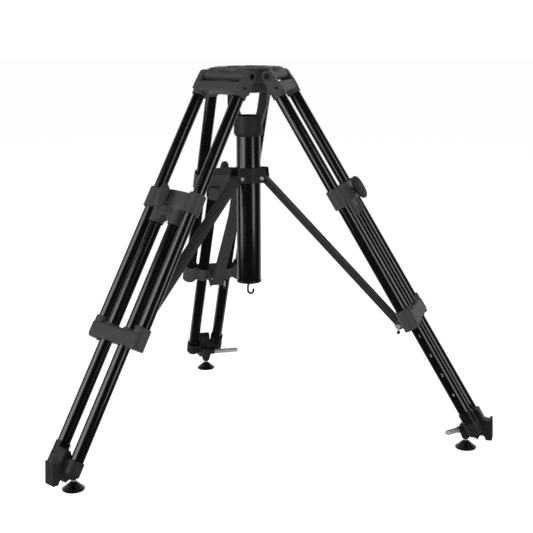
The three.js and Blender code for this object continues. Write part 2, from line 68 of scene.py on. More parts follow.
MM = 0.001
LEGS = (1, 2, 3)
SIDES = ("cw", "ccw")

# ---- camera, placed from the column axis and the bowl rim ----
CAMERA_DISTANCE = 2.6854
CAMERA_AZIMUTH = math.radians(16.07)
CAMERA_PAN = math.radians(15.14)
CAMERA_ROLL = 0.0055
CAMERA_ABOVE_RIM = 0.0884
SENSOR_WIDTH = 36
LENS = 77.96
LENS_DROP = -0.4475

# ---- floor and surroundings ----
FLOOR_REACH = 30.0
FLOOR_WHITE = 0.9
FLOOR_GLOW = 0.92
AMBIENT = 0.07
SEEN_WHITE = 1.06
REFLECTED_WHITE = 0.8
REFLECTED_DARK = 0.012
# Cosines of the angle to straight behind the object, where the reflection is dark and white.
REFLECTION_STARTS = 0.35
REFLECTION_FULL = 0.85

# ---- mesh quality: sizes of the even skins, passes that soften their edges, steps of a turn ----
CAST_VOXEL = 1.1 * MM
CAST_PASSES = 5
BRACE_VOXEL = 1.0 * MM
BOWL_VOXEL = 0.7 * MM
KNOB_VOXEL = 0.6 * MM
BLOCK_VOXEL = 0.6 * MM
LEVER_VOXEL = 0.45 * MM
FINE_PASSES = 3
KNOB_PASSES = 4
RING_STEPS = 64
SMALL_STEPS = 48
BOWL_STEPS = 160
SEAT_STEPS = 24
SMOOTH_ALL = 180

# ---- tubes and the column's end cap ----
TUBE_WALL = 1.6 * MM
COLUMN_WALL = 2.2 * MM
CAP_PLAY = 0.75 * MM
CAP_DISH = 0.8 * MM

# ---- bowl ----
BOWL_RADIUS = 50 * MM
BOWL_SPIGOT = 54 * MM
BOWL_STEP = 46 * MM
BOWL_FLANGE = 5 * MM
SPIGOT_DEPTH = 24 * MM
NOTCH_WIDTH = 12 * MM
NOTCH_DEPTH = 2.6 * MM
SLIT_WIDTH = 3.2 * MM
SLIT_DEPTH = 3.2 * MM
CUT_MARGIN = 5 * MM

# ---- fasteners: shaft radius, head height, hexagon socket ----
HINGE_SHAFT = 4.8 * MM
HINGE_HEAD = 2.3 * MM
HINGE_SOCKET = 2.9 * MM
HINGE_CROWN = 0.7 * MM
HUB_SHAFT = 3.2 * MM
HUB_HEAD = 2.1 * MM
HUB_CROWN = 1.6 * MM
SOCKET_CLEARANCE = 0.2 * MM

# ---- ring and screw on the shoulder's ears ----
EAR_RING_BORE = 6.9 * MM
EAR_RING_RADIUS = 10.6 * MM
EAR_RING_HEIGHT = 1 * MM
EAR_SEAT = 0.2 * MM
EAR_SCREW = 2.6 * MM
EAR_SCREW_PLACE = (6 * MM, 0, -33 * MM)

# ---- dark tip of the brace lever ----
TIP_RADIUS = 3.7 * MM
TIP_LENGTH = 6 * MM
TIP_INSET = 3.4 * MM
TIP_SEAT = 0.3 * MM

# ---- knob: the waist is the groove of its stem, the rest shapes the grip ----
KNOB_GRIP_DEPTH = 23 * MM
KNOB_STEM = 7.2 * MM
KNOB_WAIST = 0.86
KNOB_WAIST_FROM = 0.28
KNOB_WAIST_FULL = 0.34
KNOB_POWER = 0.8
GRIP_CREST = 0.36
GRIP_SHORTER_INSIDE = 0.16
GRIP_HOLLOW = 0.1
GRIP_HOLLOW_AT = 0.1
GRIP_HOLLOW_REACH = 0.62
GRIP_HOLLOW_HEIGHT = 0.72

# ---- foot ----
BALL_CENTRE = 11 * MM
PAD_SOCKET = 6.8 * MM
PAD_NECK = 8.2 * MM
PAD_RIBS = 4
PAD_RECESS = 0.6 * MM
BUMPER_RIBS = 4
BUMPER_GROOVE = 0.8 * MM
BUMPER_PLAY = 0.1 * MM
FERRULE_BORE = 3.4 * MM
FERRULE_RADIUS = 4.9 * MM
FERRULE_HEIGHT = 2.6 * MM
FERRULE_ABOVE_BALL = 6.4 * MM
SPIKE_GROOVE_AT = 0.4
SPIKE_GROOVE = 0.5 * MM
SPIKE_BEVEL = 5.5 * MM

# ---- hook: wire radius, bend, sideways offset of the shank, washer ----
HOOK_WIRE = 2.3 * MM
HOOK_BEND = 6.6 * MM
HOOK_BEND_STEPS = 24
HOOK_TURN = math.radians(175)
HOOK_OFFSET = -3 * MM
HOOK_WASHER = 6 * MM
HOOK_WASHER_EDGE = 1.9 * MM
HOOK_WASHER_HEIGHT = 3.9 * MM
HOOK_SEAT = 0.1 * MM
# Relative radius of the last loops of a wire, which make its domed end.
WIRE_DOME = (0.45, 0.85, 1.0)

# ---- printed scale ----
NUMERALS = "1234"
NUMERAL_SIZE = 9 * MM
NUMERAL_TOP = -664 * MM
NUMERAL_STEP = -48 * MM
NUMERAL_ANGLE = math.radians(-90)
INK_THICKNESS = 0.06 * MM
INK_LIFT = 0.12 * MM


# ================================ frames and sizes ================================
def leg_frame(n):
    """Leg n: x outward, y across, z up along the leg, origin on the hinge axis."""
    across = Vector(JOINTS[f"leg_{n}_fold"]["axis"]).normalized()
    up = -Vector(JOINTS[f"leg_{n}_extend"]["axis"]).normalized()
    place = Matrix((across.cross(up), across, up)).transposed().to_4x4()
    place.translation = Vector(JOINTS[f"leg_{n}_fold"]["pos_m"])
    return place


def turn_frame(n):
    """The object's frame turned about the column so that x points along leg n."""
    return Matrix.Rotation((n - 1) * 2 * math.pi / len(LEGS), 4, "Z")


def foot_frame(n):
    """Upright frame on the floor under the vertical axis of foot n, x outward."""
    place = turn_frame(n)
    place.translation = Vector(JOINTS[f"foot_{n}_swivel"]["pos_m"])
    place.translation.z = CAD_BOX[0].z
    return place


def across_frame(n, joint):
    """Frame with z along a cross pin of leg n, x outward and the origin on the joint."""
    place = turn_frame(n)
    place.translation = Vector(JOINTS[joint]["pos_m"])
    return place @ Matrix.Rotation(-math.pi / 2, 4, "X")


def brace_frame(n):
    """Frame with x along brace n from its hub pin to its foot, y across."""
    top = Vector(JOINTS[f"brace_{n}_fold"]["pos_m"])
    along = (Vector(JOINTS[f"brace_lever_{n}_turn"]["pos_m"]) - top).normalized()
    across = turn_frame(n).to_3x3() @ Vector((0, 1, 0))
    place = Matrix((along, across, along.cross(across))).transposed().to_4x4()
    place.translation = top
    return place


def rod_frame(n, node):
    """Frame with z along a straight rod that crosses the vertical axis of foot n."""
    points = [vertex.co for vertex in NODES[node].data.vertices]
    middle = sum(points, Vector()) / len(points)
    start = Vector(JOINTS[f"foot_{n}_swivel"]["pos_m"])
    start.z = middle.z
    place = (middle - start).to_track_quat("Z", "Y").to_matrix().to_4x4()
    place.translation = start
    return place


def extent(node, place=Matrix()):
    """Lowest and highest corner of a CAD node, in the given frame."""
    inverse = place.inverted()
    points = [inverse @ vertex.co for vertex in NODES[node].data.vertices]
    low = Vector([min(p[k] for p in points) for k in range(3)])
    high = Vector([max(p[k] for p in points) for k in range(3)])
    return low, high


def shifted(place, x, y, z):
    """The frame moved along its own axes."""
    return place @ Matrix.Translation((x, y, z))


# ================================ mesh building ================================
def linked_object(name, data):
    """A new object in the scene's collection."""
    made = bpy.data.objects.new(name, data)
    bpy.context.scene.collection.objects.link(made)
    return made


def mesh_from(build, name):
    """The mesh of a bmesh, which is freed."""
    mesh = bpy.data.meshes.new(name)
    build.to_mesh(mesh)
    build.free()
    return mesh


def add_detail(name, mesh, place, body, material, sharp=35):
    """Makes an object that rides on a body. On its own it replaces no CAD node."""
    mesh.shade_smooth()
    mesh.set_sharp_from_angle(angle=math.radians(sharp))
    piece = linked_object(name, mesh)
    piece.matrix_world = place
    mesh.materials.append(material)
    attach(piece, body)
    return piece


def finish_piece(name, mesh, place, node, material, sharp=35):
    """Makes an object that stands for a CAD node and rides on that node's body."""
    piece = add_detail(name, mesh, place, OWNER[node], material, sharp)
    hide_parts(node)


def rounded(corners, closed=True, steps=5):
    """Outline of (radius, height, rounding) corners with each corner turned into an arc."""
    outline = []
    count = len(corners)
    for i, (r, z, rounding) in enumerate(corners):
        corner = Vector((r, z))
        at_end = not closed and i in (0, count - 1)
        before = Vector(corners[i - 1][:2]) - corner
        after = Vector(corners[(i + 1) % count][:2]) - corner
        if at_end or rounding <= 0 or before.length == 0 or after.length == 0:
            outline.append(corner)
            continue
        half = before.angle(after) / 2
        reach = min(rounding / math.tan(half), 0.48 * before.length, 0.48 * after.length)
        start = corner + before.normalized() * reach
        end = corner + after.normalized() * reach
        for k in range(steps + 1):
            t = k / steps
            outline.append(start * (1 - t) ** 2 + corner * 2 * t * (1 - t) + end * t ** 2)
    return outline


def revolve(name, outline, segments=RING_STEPS, closed=True, shape=None):
    """Solid of revolution about z. An open outline starts and ends on the axis.

    shape(radius, height, angle) may return a changed (radius, height) for each point.
    """
    build = bmesh.new()
    rings = []
    for point in outline:
        if point.x < 1e-7:
            rings.append([build.verts.new((0, 0, point.y))])
            continue
        ring = []
        for k in range(segments):
            angle = 2 * math.pi * k / segments
            r, z = shape(point.x, point.y, angle) if shape else (point.x, point.y)
            ring.append(build.verts.new((r * math.cos(angle), r * math.sin(angle), z)))
        rings.append(ring)
    pairs = list(zip(rings, rings[1:]))
    if closed:
        pairs.append((rings[-1], rings[0]))
    for lower, upper in pairs:
        for k in range(segments):
            j = (k + 1) % segments
            corners = [lower[k % len(lower)], lower[j % len(lower)],
                       upper[j % len(upper)], upper[k % len(upper)]]
            unique = list(dict.fromkeys(corners))
            if len(unique) > 2:
                build.faces.new(unique)
    bmesh.ops.recalc_face_normals(build, faces=build.faces)
    return mesh_from(build, name)


def hexagonal(limit):
    """Shape for revolve: every point nearer to the axis than the limit lies on a hexagon."""
    def shape(r, z, angle):
        if r > limit:
            return r, z
        return r / math.cos((angle + math.pi / 6) % (math.pi / 3) - math.pi / 6), z
    return shape


def slabs(name, spans):
    """One mesh of several boxes, each given as (low corner, high corner, matrix)."""
    build = bmesh.new()
    for low, high, matrix in spans:
        size = Matrix.Diagonal((*(Vector(high) - Vector(low)), 1))
        middle = Matrix.Translation((Vector(high) + Vector(low)) / 2)
        bmesh.ops.create_cube(build, size=1, matrix=matrix @ middle @ size)
    return mesh_from(build, name)


def join_meshes(name, parts):
    """One mesh from several (mesh, matrix) parts."""
    build = bmesh.new()
    for mesh, matrix in parts:
        part = mesh.copy()
        part.transform(matrix)
        build.from_mesh(part)
    return mesh_from(build, name)


def evaluated_copy(name, mesh, modifiers):
    """A new mesh: the given one with a list of (modifier type, settings) applied."""
    source = linked_object("work", mesh)
    for kind, settings in modifiers:
        modifier = source.modifiers.new(kind.lower(), kind)
        for key, value in settings.items():
            setattr(modifier, key, value)
    graph = bpy.context.evaluated_depsgraph_get()
    result = bpy.data.meshes.new_from_object(source.evaluated_get(graph))
    result.name = name
    bpy.data.objects.remove(source)
    return result


def even_skin(voxel, passes):
    """Modifiers that lay one even skin over a mesh and soften its edges."""
    return [("REMESH", {"mode": "VOXEL", "voxel_size": voxel}),
            ("SMOOTH", {"factor": 0.5, "iterations": passes})]


def cast_mesh(node, place, voxel=CAST_VOXEL, passes=CAST_PASSES):
    """The CAD node as a casting: one even skin with softly rounded edges, in the given frame."""
    mesh = NODES[node].data.copy()
    mesh.materials.clear()
    mesh.transform(place.inverted())
    return evaluated_copy(node + "_skin", mesh, even_skin(voxel, passes))


# ================================ materials ================================
def add_node(tree, kind, inputs=None, **settings):
    """A shader node. Each input is a value, or a socket to link to."""
    made = tree.nodes.new(kind)
    for key, value in settings.items():
        setattr(made, key, value)
    for key, value in (inputs or {}).items():
        if isinstance(value, bpy.types.NodeSocket):
            tree.links.new(value, made.inputs[key])
        else:
            made.inputs[key].default_value = value
    return made


class Finish:
    """A node material with a Principled shader and short helpers for its inputs."""

    def __init__(self, name):
        self.material = bpy.data.materials.new(name)
        self.material.use_nodes = True
        self.tree = self.material.node_tree
        self.shader = self.tree.nodes["Principled BSDF"]
        self.place = self.node("ShaderNodeTexCoord").outputs["Object"]

    def node(self, kind, inputs=None, **settings):
        return add_node(self.tree, kind, inputs, **settings)

    def set(self, **values):
        for key, value in values.items():
            self.shader.inputs[key.replace("_", " ")].default_value = value

    def link(self, socket, name):
        self.tree.links.new(socket, self.shader.inputs[name])

    def stretched(self, x, y, z):
        mapping = self.node("ShaderNodeMapping", {"Vector": self.place, "Scale": (x, y, z)})
        return mapping.outputs["Vector"]

    def noise(self, scale, detail=3.0, roughness=0.55, vector=None):
        made = self.node("ShaderNodeTexNoise", {
            "Vector": vector or self.place, "Scale": scale, "Detail": detail,
            "Roughness": roughness})
        return made.outputs["Fac"]

    def cells(self, scale):
        made = self.node("ShaderNodeTexVoronoi", {"Vector": self.place, "Scale": scale},
                         feature="SMOOTH_F1")
        return made.outputs["Distance"]

    def rings(self, scale, distortion):
        made = self.node("ShaderNodeTexWave", {
            "Vector": self.place, "Scale": scale, "Distortion": distortion},
            wave_type="RINGS", rings_direction="Z")
        return made.outputs["Fac"]

    def colour(self, factor, dark, light):
        made = self.node("ShaderNodeMix", {"Factor": factor, "A": (*dark, 1), "B": (*light, 1)},
                         data_type="RGBA")
        self.link(made.outputs["Result"], "Base Color")

    def roughness(self, factor, low, high, to_low, to_high):
        made = self.node("ShaderNodeMapRange", {
            "Value": factor, "From Min": low, "From Max": high, "To Min": to_low,
            "To Max": to_high})
        self.link(made.outputs["Result"], "Roughness")

    def bump(self, height, distance, strength):
        made = self.node("ShaderNodeBump", {
            "Height": height, "Distance": distance, "Strength": strength})
        self.link(made.outputs["Normal"], "Normal")


def darker(tone, share):
    return tuple(share * channel for channel in tone)


def powder_coat(name, dark, light, grain=850.0, rough=0.5):
    """Fine-textured powder coat on a casting."""
    f = Finish(name)
    f.set(Metallic=0.0, IOR=1.5)
    f.colour(f.noise(28.0, 4.0), dark, light)
    f.roughness(f.noise(60.0, 3.0), 0.3, 0.7, rough - 0.06, rough + 0.08)
    f.bump(f.noise(grain, 2.0, 0.6), 0.25 * MM, 0.55)
    return f.material


def anodised(name, tone, rough):
    """Gloss black anodised tube with faint drawing lines along it."""
    f = Finish(name)
    f.set(Metallic=0.0, IOR=2.0)
    lines = f.noise(1.0, 2.0, 0.5, f.stretched(2200.0, 2200.0, 6.0))
    f.colour(lines, darker(tone, 0.7), tone)
    f.roughness(f.noise(35.0, 4.0), 0.25, 0.75, rough - 0.04, rough + 0.05)
    f.bump(lines, 0.012 * MM, 0.6)
    return f.material


def turned_black(name, tone, rough):
    """Satin black anodising over fine turning rings."""
    f = Finish(name)
    f.set(Metallic=0.0, IOR=1.6)
    rings = f.rings(900.0, 0.4)
    f.colour(f.noise(40.0), darker(tone, 0.7), tone)
    f.roughness(f.noise(90.0, 2.0), 0.3, 0.7, rough - 0.05, rough + 0.07)
    f.bump(rings, 0.02 * MM, 0.5)
    return f.material


def moulded(name, dark, light, rough, grain, depth):
    """Moulded plastic or rubber with a fine pebbled skin."""
    f = Finish(name)
    f.set(Metallic=0.0, IOR=1.48)
    f.colour(f.noise(45.0, 4.0), dark, light)
    f.roughness(f.noise(120.0, 2.0), 0.3, 0.7, rough - 0.06, rough + 0.08)
    f.bump(f.cells(grain), depth, 0.6)
    return f.material


def bare_steel(name, tone, rough, metallic=1.0):
    """Turned and polished steel with fine rings and a few hairline marks."""
    f = Finish(name)
    f.set(Metallic=metallic, IOR=1.8)
    rings = f.noise(1.0, 2.0, 0.6, f.stretched(30.0, 30.0, 2600.0))
    marks = f.noise(1.0, 3.0, 0.7, f.stretched(900.0, 900.0, 60.0))
    f.colour(marks, darker(tone, 0.8), tone)
    f.roughness(rings, 0.3, 0.7, rough - 0.05, rough + 0.1)
    f.bump(rings, 0.01 * MM, 0.5)
    return f.material


def printed_ink(name):
    """Pale pad-printed ink, a little uneven."""
    f = Finish(name)
    f.colour(f.noise(700.0, 3.0), (0.42, 0.42, 0.40), (0.66, 0.66, 0.63))
    f.set(Roughness=0.6)
    f.bump(f.noise(1500.0), 0.01 * MM, 0.4)
    return f.material


CASTING = powder_coat("charcoal_powder_coat", (0.042, 0.043, 0.043), (0.060, 0.061, 0.060))
DARK_CASTING = powder_coat("dark_powder_coat", (0.013, 0.013, 0.014), (0.021, 0.021, 0.022))
BRACE_PAINT = powder_coat("matte_grey_paint", (0.024, 0.025, 0.025), (0.034, 0.035, 0.035),
                          grain=1100.0, rough=0.58)
TUBE_BLACK = anodised("black_anodised_tube", (0.003, 0.003, 0.004), rough=0.2)
COLUMN_BLACK = anodised("black_anodised_column", (0.003, 0.003, 0.0035), rough=0.22)
BOWL_BLACK = turned_black("satin_black_turned", (0.016, 0.016, 0.017), rough=0.3)
KNOB_PLASTIC = moulded("soft_touch_grip", (0.034, 0.035, 0.036), (0.052, 0.053, 0.054),
                       rough=0.5, grain=1500.0, depth=0.12 * MM)
RUBBER = moulded("black_rubber", (0.003, 0.003, 0.003), (0.006, 0.006, 0.006),
                 rough=0.3, grain=1100.0, depth=0.12 * MM)
CAP_PLASTIC = moulded("black_moulding", (0.005, 0.005, 0.005), (0.010, 0.010, 0.010),
                      rough=0.34, grain=1300.0, depth=0.06 * MM)
STEEL = bare_steel("polished_steel", (0.82, 0.82, 0.80), rough=0.3, metallic=0.55)
BLACK_STEEL = bare_steel("black_oxide_steel", (0.06, 0.06, 0.065), rough=0.34)
HOOK_COAT = moulded("black_dipped_wire", (0.008, 0.008, 0.008), (0.014, 0.014, 0.014),
                    rough=0.34, grain=1800.0, depth=0.03 * MM)
INK = printed_ink("printed_scale")


# ================================ round pieces ================================
def tube_piece(node, place, material, wall=TUBE_WALL):
    """A drawn tube with broken edges, made round from the CAD tube's extents."""
    low, high = extent(node, place)
    centre = (low + high) / 2
    radius = (high.y - low.y) / 2
    corners = [(radius - wall, low.z, 0.3 * MM), (radius, low.z, 0.5 * MM),
               (radius, high.z, 0.5 * MM), (radius - wall, high.z, 0.3 * MM)]
    mesh = revolve(node + "_round", rounded(corners, steps=2))
    finish_piece(node + "_round", mesh, shifted(place, centre.x, centre.y, 0), node, material)


def leg_tubes():
    for n in LEGS:
        for side in SIDES:
            for tube in ("outer_tube", "inner_tube"):
                tube_piece(f"{tube}_{n}_{side}", leg_frame(n), TUBE_BLACK)


def centre_column():
    tube_piece("centre_column", Matrix(), COLUMN_BLACK, COLUMN_WALL)


def column_end_cap():
    """Plug with a flange and a shallow dish around the hook."""
    low, high = extent("column_end_cap")
    flange = high.x
    plug = flange - COLUMN_WALL - CAP_PLAY
    seat = extent("centre_column")[0].z - 0.05 * MM
    corners = [(0, high.z, 0), (plug, high.z, 1 * MM), (plug, seat, 0), (flange, seat, 0.4 * MM),
               (flange, low.z + 1.2 * MM, 1 * MM), (flange - 2 * MM, low.z, 1 * MM),
               (0.62 * flange, low.z, 0.5 * MM), (0.56 * flange, low.z + CAP_DISH, 0.5 * MM),
               (0.34 * flange, low.z + CAP_DISH, 0.5 * MM), (0.3 * flange, low.z, 0.5 * MM),
               (0, low.z, 0)]
    mesh = revolve("end_cap", rounded(corners, closed=False))
    finish_piece("end_cap", mesh, Matrix(), "column_end_cap", CAP_PLASTIC)


def bowl_outline(rim, foot):
    """Half section of the bowl ring: spigot, flange, flat rim and the seat of the half ball."""
    corners = [(BOWL_STEP, foot, 0.4 * MM), (BOWL_STEP, -SPIGOT_DEPTH, 0),
               (BOWL_SPIGOT, -SPIGOT_DEPTH, 0.6 * MM), (BOWL_SPIGOT, -BOWL_FLANGE, 0),
               (rim, -BOWL_FLANGE, 0.3 * MM), (rim, 0, 1 * MM),
               (BOWL_RADIUS + 0.8 * MM, 0, 0.3 * MM)]
    outline = rounded(corners, steps=4)
    for k in range(1, SEAT_STEPS + 1):
        z = foot * k / SEAT_STEPS
        outline.append(Vector((math.sqrt(BOWL_RADIUS ** 2 - z * z), z)))
    return outline


def rim_cuts(rim):
    """Boxes that cut three notches and, between them, three slits into the bowl's rim."""
    turns = [Matrix.Rotation(k * math.pi / 3, 4, "Z") for k in range(6)]
    spans = []
    for first, width, depth in ((0, NOTCH_WIDTH, NOTCH_DEPTH), (1, SLIT_WIDTH, SLIT_DEPTH)):
        low = (BOWL_STEP, -width / 2, -depth)
        high = (rim + CUT_MARGIN, width / 2, CUT_MARGIN)
        spans += [(low, high, turn) for turn in turns[first::2]]
    return slabs("rim_cuts", spans)


def bowl():
    """Turned bowl ring with its cut rim."""
    low, high = extent("bowl_ring")
    blank = revolve("bowl_blank", bowl_outline(high.x, low.z - high.z), BOWL_STEPS)
    tool = linked_object("rim_cuts", rim_cuts(high.x))
    cut = ("BOOLEAN", {"object": tool, "operation": "DIFFERENCE", "solver": "EXACT"})
    mesh = evaluated_copy("bowl", blank, [cut] + even_skin(BOWL_VOXEL, FINE_PASSES))
    bpy.data.objects.remove(tool)
    place = Matrix.Translation((0, 0, high.z))
    finish_piece("bowl", mesh, place, "bowl_ring", BOWL_BLACK, SMOOTH_ALL)


def swept(name, path, radius, sides=20):
    """Round wire along a path in the x-z plane, with domed ends."""
    build = bmesh.new()
    loops = []
    last = len(path) - 1
    for i, point in enumerate(path):
        along = (path[min(i + 1, last)] - path[max(i - 1, 0)]).normalized()
        side = Vector((0, 1, 0))
        up = along.cross(side)
        size = radius * WIRE_DOME[min(i, last - i, len(WIRE_DOME) - 1)]
        angles = [2 * math.pi * k / sides for k in range(sides)]
        loops.append([build.verts.new(point + size * (side * math.cos(a) + up * math.sin(a)))
                      for a in angles])
    for lower, upper in zip(loops, loops[1:]):
        for k in range(sides):
            j = (k + 1) % sides
            build.faces.new((lower[k], lower[j], upper[j], upper[k]))
    build.faces.new(loops[0])
    build.faces.new(loops[-1])
    bmesh.ops.recalc_face_normals(build, faces=build.faces)
    return mesh_from(build, name)


def hook_path(bottom):
    """Centre line of the hook: a shank set a little to one side, a bend and a flared tip."""
    middle = Vector((HOOK_OFFSET + HOOK_BEND, 0, bottom + HOOK_WIRE + HOOK_BEND))
    path = [Vector((0, 0, 1.5 * MM)), Vector((0, 0, 0.8 * MM)), Vector((0, 0, -3 * MM)),
            Vector((0.4 * HOOK_OFFSET, 0, -6 * MM)), Vector((HOOK_OFFSET, 0, -10 * MM))]
    for k in range(HOOK_BEND_STEPS + 1):
        angle = math.pi + k * HOOK_TURN / HOOK_BEND_STEPS
        path.append(middle + HOOK_BEND * Vector((math.cos(angle), 0, math.sin(angle))))
    for step in (3.4, 4.2, 4.8):
        path.append(middle + Vector((HOOK_BEND + 0.12 * step * MM, 0, step * MM)))
    return path


def ballast_hook():
    """Wire hook under a round washer."""
    bottom = extent("ballast_hook")[0].z
    base = extent("column_end_cap")[0].z
    washer = rounded([
        (0, 0, 0), (HOOK_WASHER, 0, 0.2 * MM), (HOOK_WASHER, -HOOK_WASHER_EDGE, 0.8 * MM),
        (0.6 * HOOK_WASHER, -HOOK_WASHER_HEIGHT, 0.6 * MM), (0, -HOOK_WASHER_HEIGHT, 0)],
        closed=False)
    mesh = join_meshes("hook", [
        (swept("wire", hook_path(bottom - base), HOOK_WIRE), Matrix()),
        (revolve("washer", washer, 40, closed=False), Matrix())])
    place = Matrix.Translation((0, 0, base - HOOK_SEAT))
    finish_piece("hook", mesh, place, "ballast_hook", HOOK_COAT, sharp=50)


# ================================ fasteners ================================
def bolt_mesh(name, reach, shaft, head, height, socket, crown):
    """Cross bolt about z with a head at both ends. A socket of zero leaves the heads plain."""
    depth = 0.7 * height if socket else 0
    half = [(0, reach - depth, 0)]
    if socket:
        half += [(socket, reach - depth, 0), (socket, reach, 0.15 * MM)]
    half += [(head, reach, crown), (head, reach - height, 0.1 * MM), (shaft, reach - height, 0)]
    corners = half + [(r, -z, rounding) for r, z, rounding in reversed(half)]
    outline = rounded(corners, closed=False, steps=6)
    return revolve(name, outline, SMALL_STEPS, closed=False,
                   shape=hexagonal(socket + SOCKET_CLEARANCE))


def screw_head(radius):
    """Button head about z with a hexagonal socket, base at z = 0."""
    socket = 0.48 * radius
    corners = [(0, 0.25 * radius, 0), (socket, 0.25 * radius, 0), (socket, 0.8 * radius, 0.1 * MM),
               (0.75 * radius, 0.8 * radius, 0.3 * radius), (radius, 0.3 * radius, 0.2 * radius),
               (radius, 0, 0), (0, 0, 0)]
    return revolve("screw_head", rounded(corners, closed=False), 36, closed=False,
                   shape=hexagonal(socket + 0.15 * MM))


def ear_details(n):
    """Raised ring around the hinge bolt and a small screw on both ears of shoulder n."""
    ring = rounded([(EAR_RING_BORE, 0, 0), (EAR_RING_RADIUS, 0, 0),
                    (EAR_RING_RADIUS, EAR_RING_HEIGHT, 0.5 * MM),
                    (EAR_RING_BORE, EAR_RING_HEIGHT, 0.4 * MM)])
    face = extent(f"shoulder_{n}", leg_frame(n))[1].y
    for side, turn in zip(SIDES, (math.pi / 2, -math.pi / 2)):
        out = shifted(Matrix.Rotation(turn, 4, "X"), 0, 0, face - EAR_SEAT)
        beside = Matrix.Translation(EAR_SCREW_PLACE) @ out
        add_detail(f"ear_ring_{n}_{side}", revolve("ear_ring", ring, SMALL_STEPS),
                   leg_frame(n) @ out, f"upper_leg_{n}", CASTING)
        add_detail(f"ear_screw_{n}_{side}", screw_head(EAR_SCREW), leg_frame(n) @ beside,
                   f"upper_leg_{n}", BLACK_STEEL)


def hinge_bolts():
    """Socket-headed bolt through each shoulder's ears."""
    for n in LEGS:
        node = f"hinge_bolt_{n}"
        place = across_frame(n, f"leg_{n}_fold")
        low, high = extent(node, place)
        mesh = bolt_mesh(node, high.z, HINGE_SHAFT, -low.x, HINGE_HEAD, HINGE_SOCKET, HINGE_CROWN)
        finish_piece(node + "_turned", mesh, place, node, BLACK_STEEL)
        ear_details(n)


def hub_pins():
    """Bright pins with domed heads."""
    for n in LEGS:
        node = f"hub_pin_{n}"
        place = across_frame(n, f"brace_{n}_fold")
        low, high = extent(node, place)
        mesh = bolt_mesh(node, high.z, HUB_SHAFT, -low.x, HUB_HEAD, 0, HUB_CROWN)
        finish_piece(node + "_turned", mesh, place, node, STEEL)


def brace_levers():
    """Pivot screw with a bright head, a flat finger lever and its dark tip."""
    tip = rounded([(0, 0, 0), (TIP_RADIUS, 0, 1.2 * MM), (TIP_RADIUS, TIP_LENGTH, 2 * MM),
                   (0, TIP_LENGTH, 0)], closed=False)
    for n in LEGS:
        node = f"brace_pin_lever_{n}"
        place = across_frame(n, f"brace_lever_{n}_turn")
        skin = cast_mesh(node, place, LEVER_VOXEL, FINE_PASSES)
        finish_piece(node + "_steel", skin, place, node, STEEL, SMOOTH_ALL)
        low, high = extent(node, place)
        at = shifted(place, 0, high.y - TIP_INSET, low.z - TIP_SEAT)
        add_detail(f"brace_lever_tip_{n}", revolve("lever_tip", tip, 32, closed=False), at,
                   f"brace_lever_{n}", RUBBER)


# ================================ knobs ================================
def grip_mesh(half):
    """Grip of a knob: thinner and taller towards its crest, with a hollow in both flanks."""
    build = bmesh.new()
    bmesh.ops.create_uvsphere(build, u_segments=72, v_segments=56, radius=1)
    for vertex in build.verts:
        x, y, z = (math.copysign(abs(c) ** KNOB_POWER, c) for c in vertex.co)
        outer = max(0.0, x)
        inner = max(0.0, -x)
        hollow = (max(0.0, 1 - (z / GRIP_HOLLOW_HEIGHT) ** 4)
                  * max(0.0, 1 - ((x - GRIP_HOLLOW_AT) / GRIP_HOLLOW_REACH) ** 4))
        y *= (1 - GRIP_CREST * outer ** 1.5) * (1 - GRIP_HOLLOW * hollow)
        z *= 1 - GRIP_SHORTER_INSIDE * inner
        vertex.co = Vector((x * half.x, y * half.y, z * half.z))
    return mesh_from(build, "grip")


def clamp_knobs():
    """Grip on a stem with a groove, skinned together so that they run into each other."""
    low, high = extent("clamp_knob_1", leg_frame(1))
    half = Vector((KNOB_GRIP_DEPTH / 2, high.y, (high.z - low.z) / 2))
    middle = Vector((high.x - half.x, 0, (high.z + low.z) / 2))
    reach = middle.x - low.x
    waist = KNOB_WAIST * KNOB_STEM
    stem = rounded([(0, 0, 0), (KNOB_STEM, 0, 0.5 * MM),
                    (KNOB_STEM, KNOB_WAIST_FROM * reach, 0.5 * MM),
                    (waist, KNOB_WAIST_FULL * reach, 0.5 * MM), (waist, reach, 0),
                    (0, reach, 0)], closed=False)
    outward = Matrix.Translation((-reach, 0, 0)) @ Matrix.Rotation(math.pi / 2, 4, "Y")
    blank = join_meshes("knob_blank", [
        (grip_mesh(half), Matrix()),
        (revolve("stem", stem, SMALL_STEPS, closed=False), outward)])
    mesh = evaluated_copy("knob", blank, even_skin(KNOB_VOXEL, KNOB_PASSES))
    for n in LEGS:
        at = leg_frame(n) @ Matrix.Translation(middle)
        finish_piece(f"knob_{n}", mesh.copy(), at, f"clamp_knob_{n}", KNOB_PLASTIC, SMOOTH_ALL)


# ================================ feet ================================
def bumper_outline(radius, bore, low, high):
    """Section of a ribbed sleeve between two heights."""
    pitch = (high - low) / BUMPER_RIBS
    groove = radius - BUMPER_GROOVE
    corners = [(bore, high, 0.3 * MM), (bore, low, 0.3 * MM)]
    for k in range(BUMPER_RIBS):
        base = low + k * pitch
        corners += [(radius, base, 0.7 * MM), (radius, base + 0.78 * pitch, 0.7 * MM),
                    (groove, base + 0.84 * pitch, 0.2 * MM),
                    (groove, base + 0.94 * pitch, 0.2 * MM)]
    return rounded(corners[:-2], steps=4)


def foot_bumpers():
    """Ribbed rubber sleeve above each foot."""
    for n in LEGS:
        node = f"foot_bumper_{n}"
        place = leg_frame(n)
        low, high = extent(node, place)
        middle = (low + high) / 2
        tube_low, tube_high = extent(f"inner_tube_{n}_cw", place)
        bore = (tube_high.y - tube_low.y) / 2 + BUMPER_PLAY
        mesh = revolve(node, bumper_outline((high.y - low.y) / 2, bore, low.z, high.z))
        finish_piece(node + "_ribbed", mesh, shifted(place, middle.x, middle.y, 0), node, RUBBER)


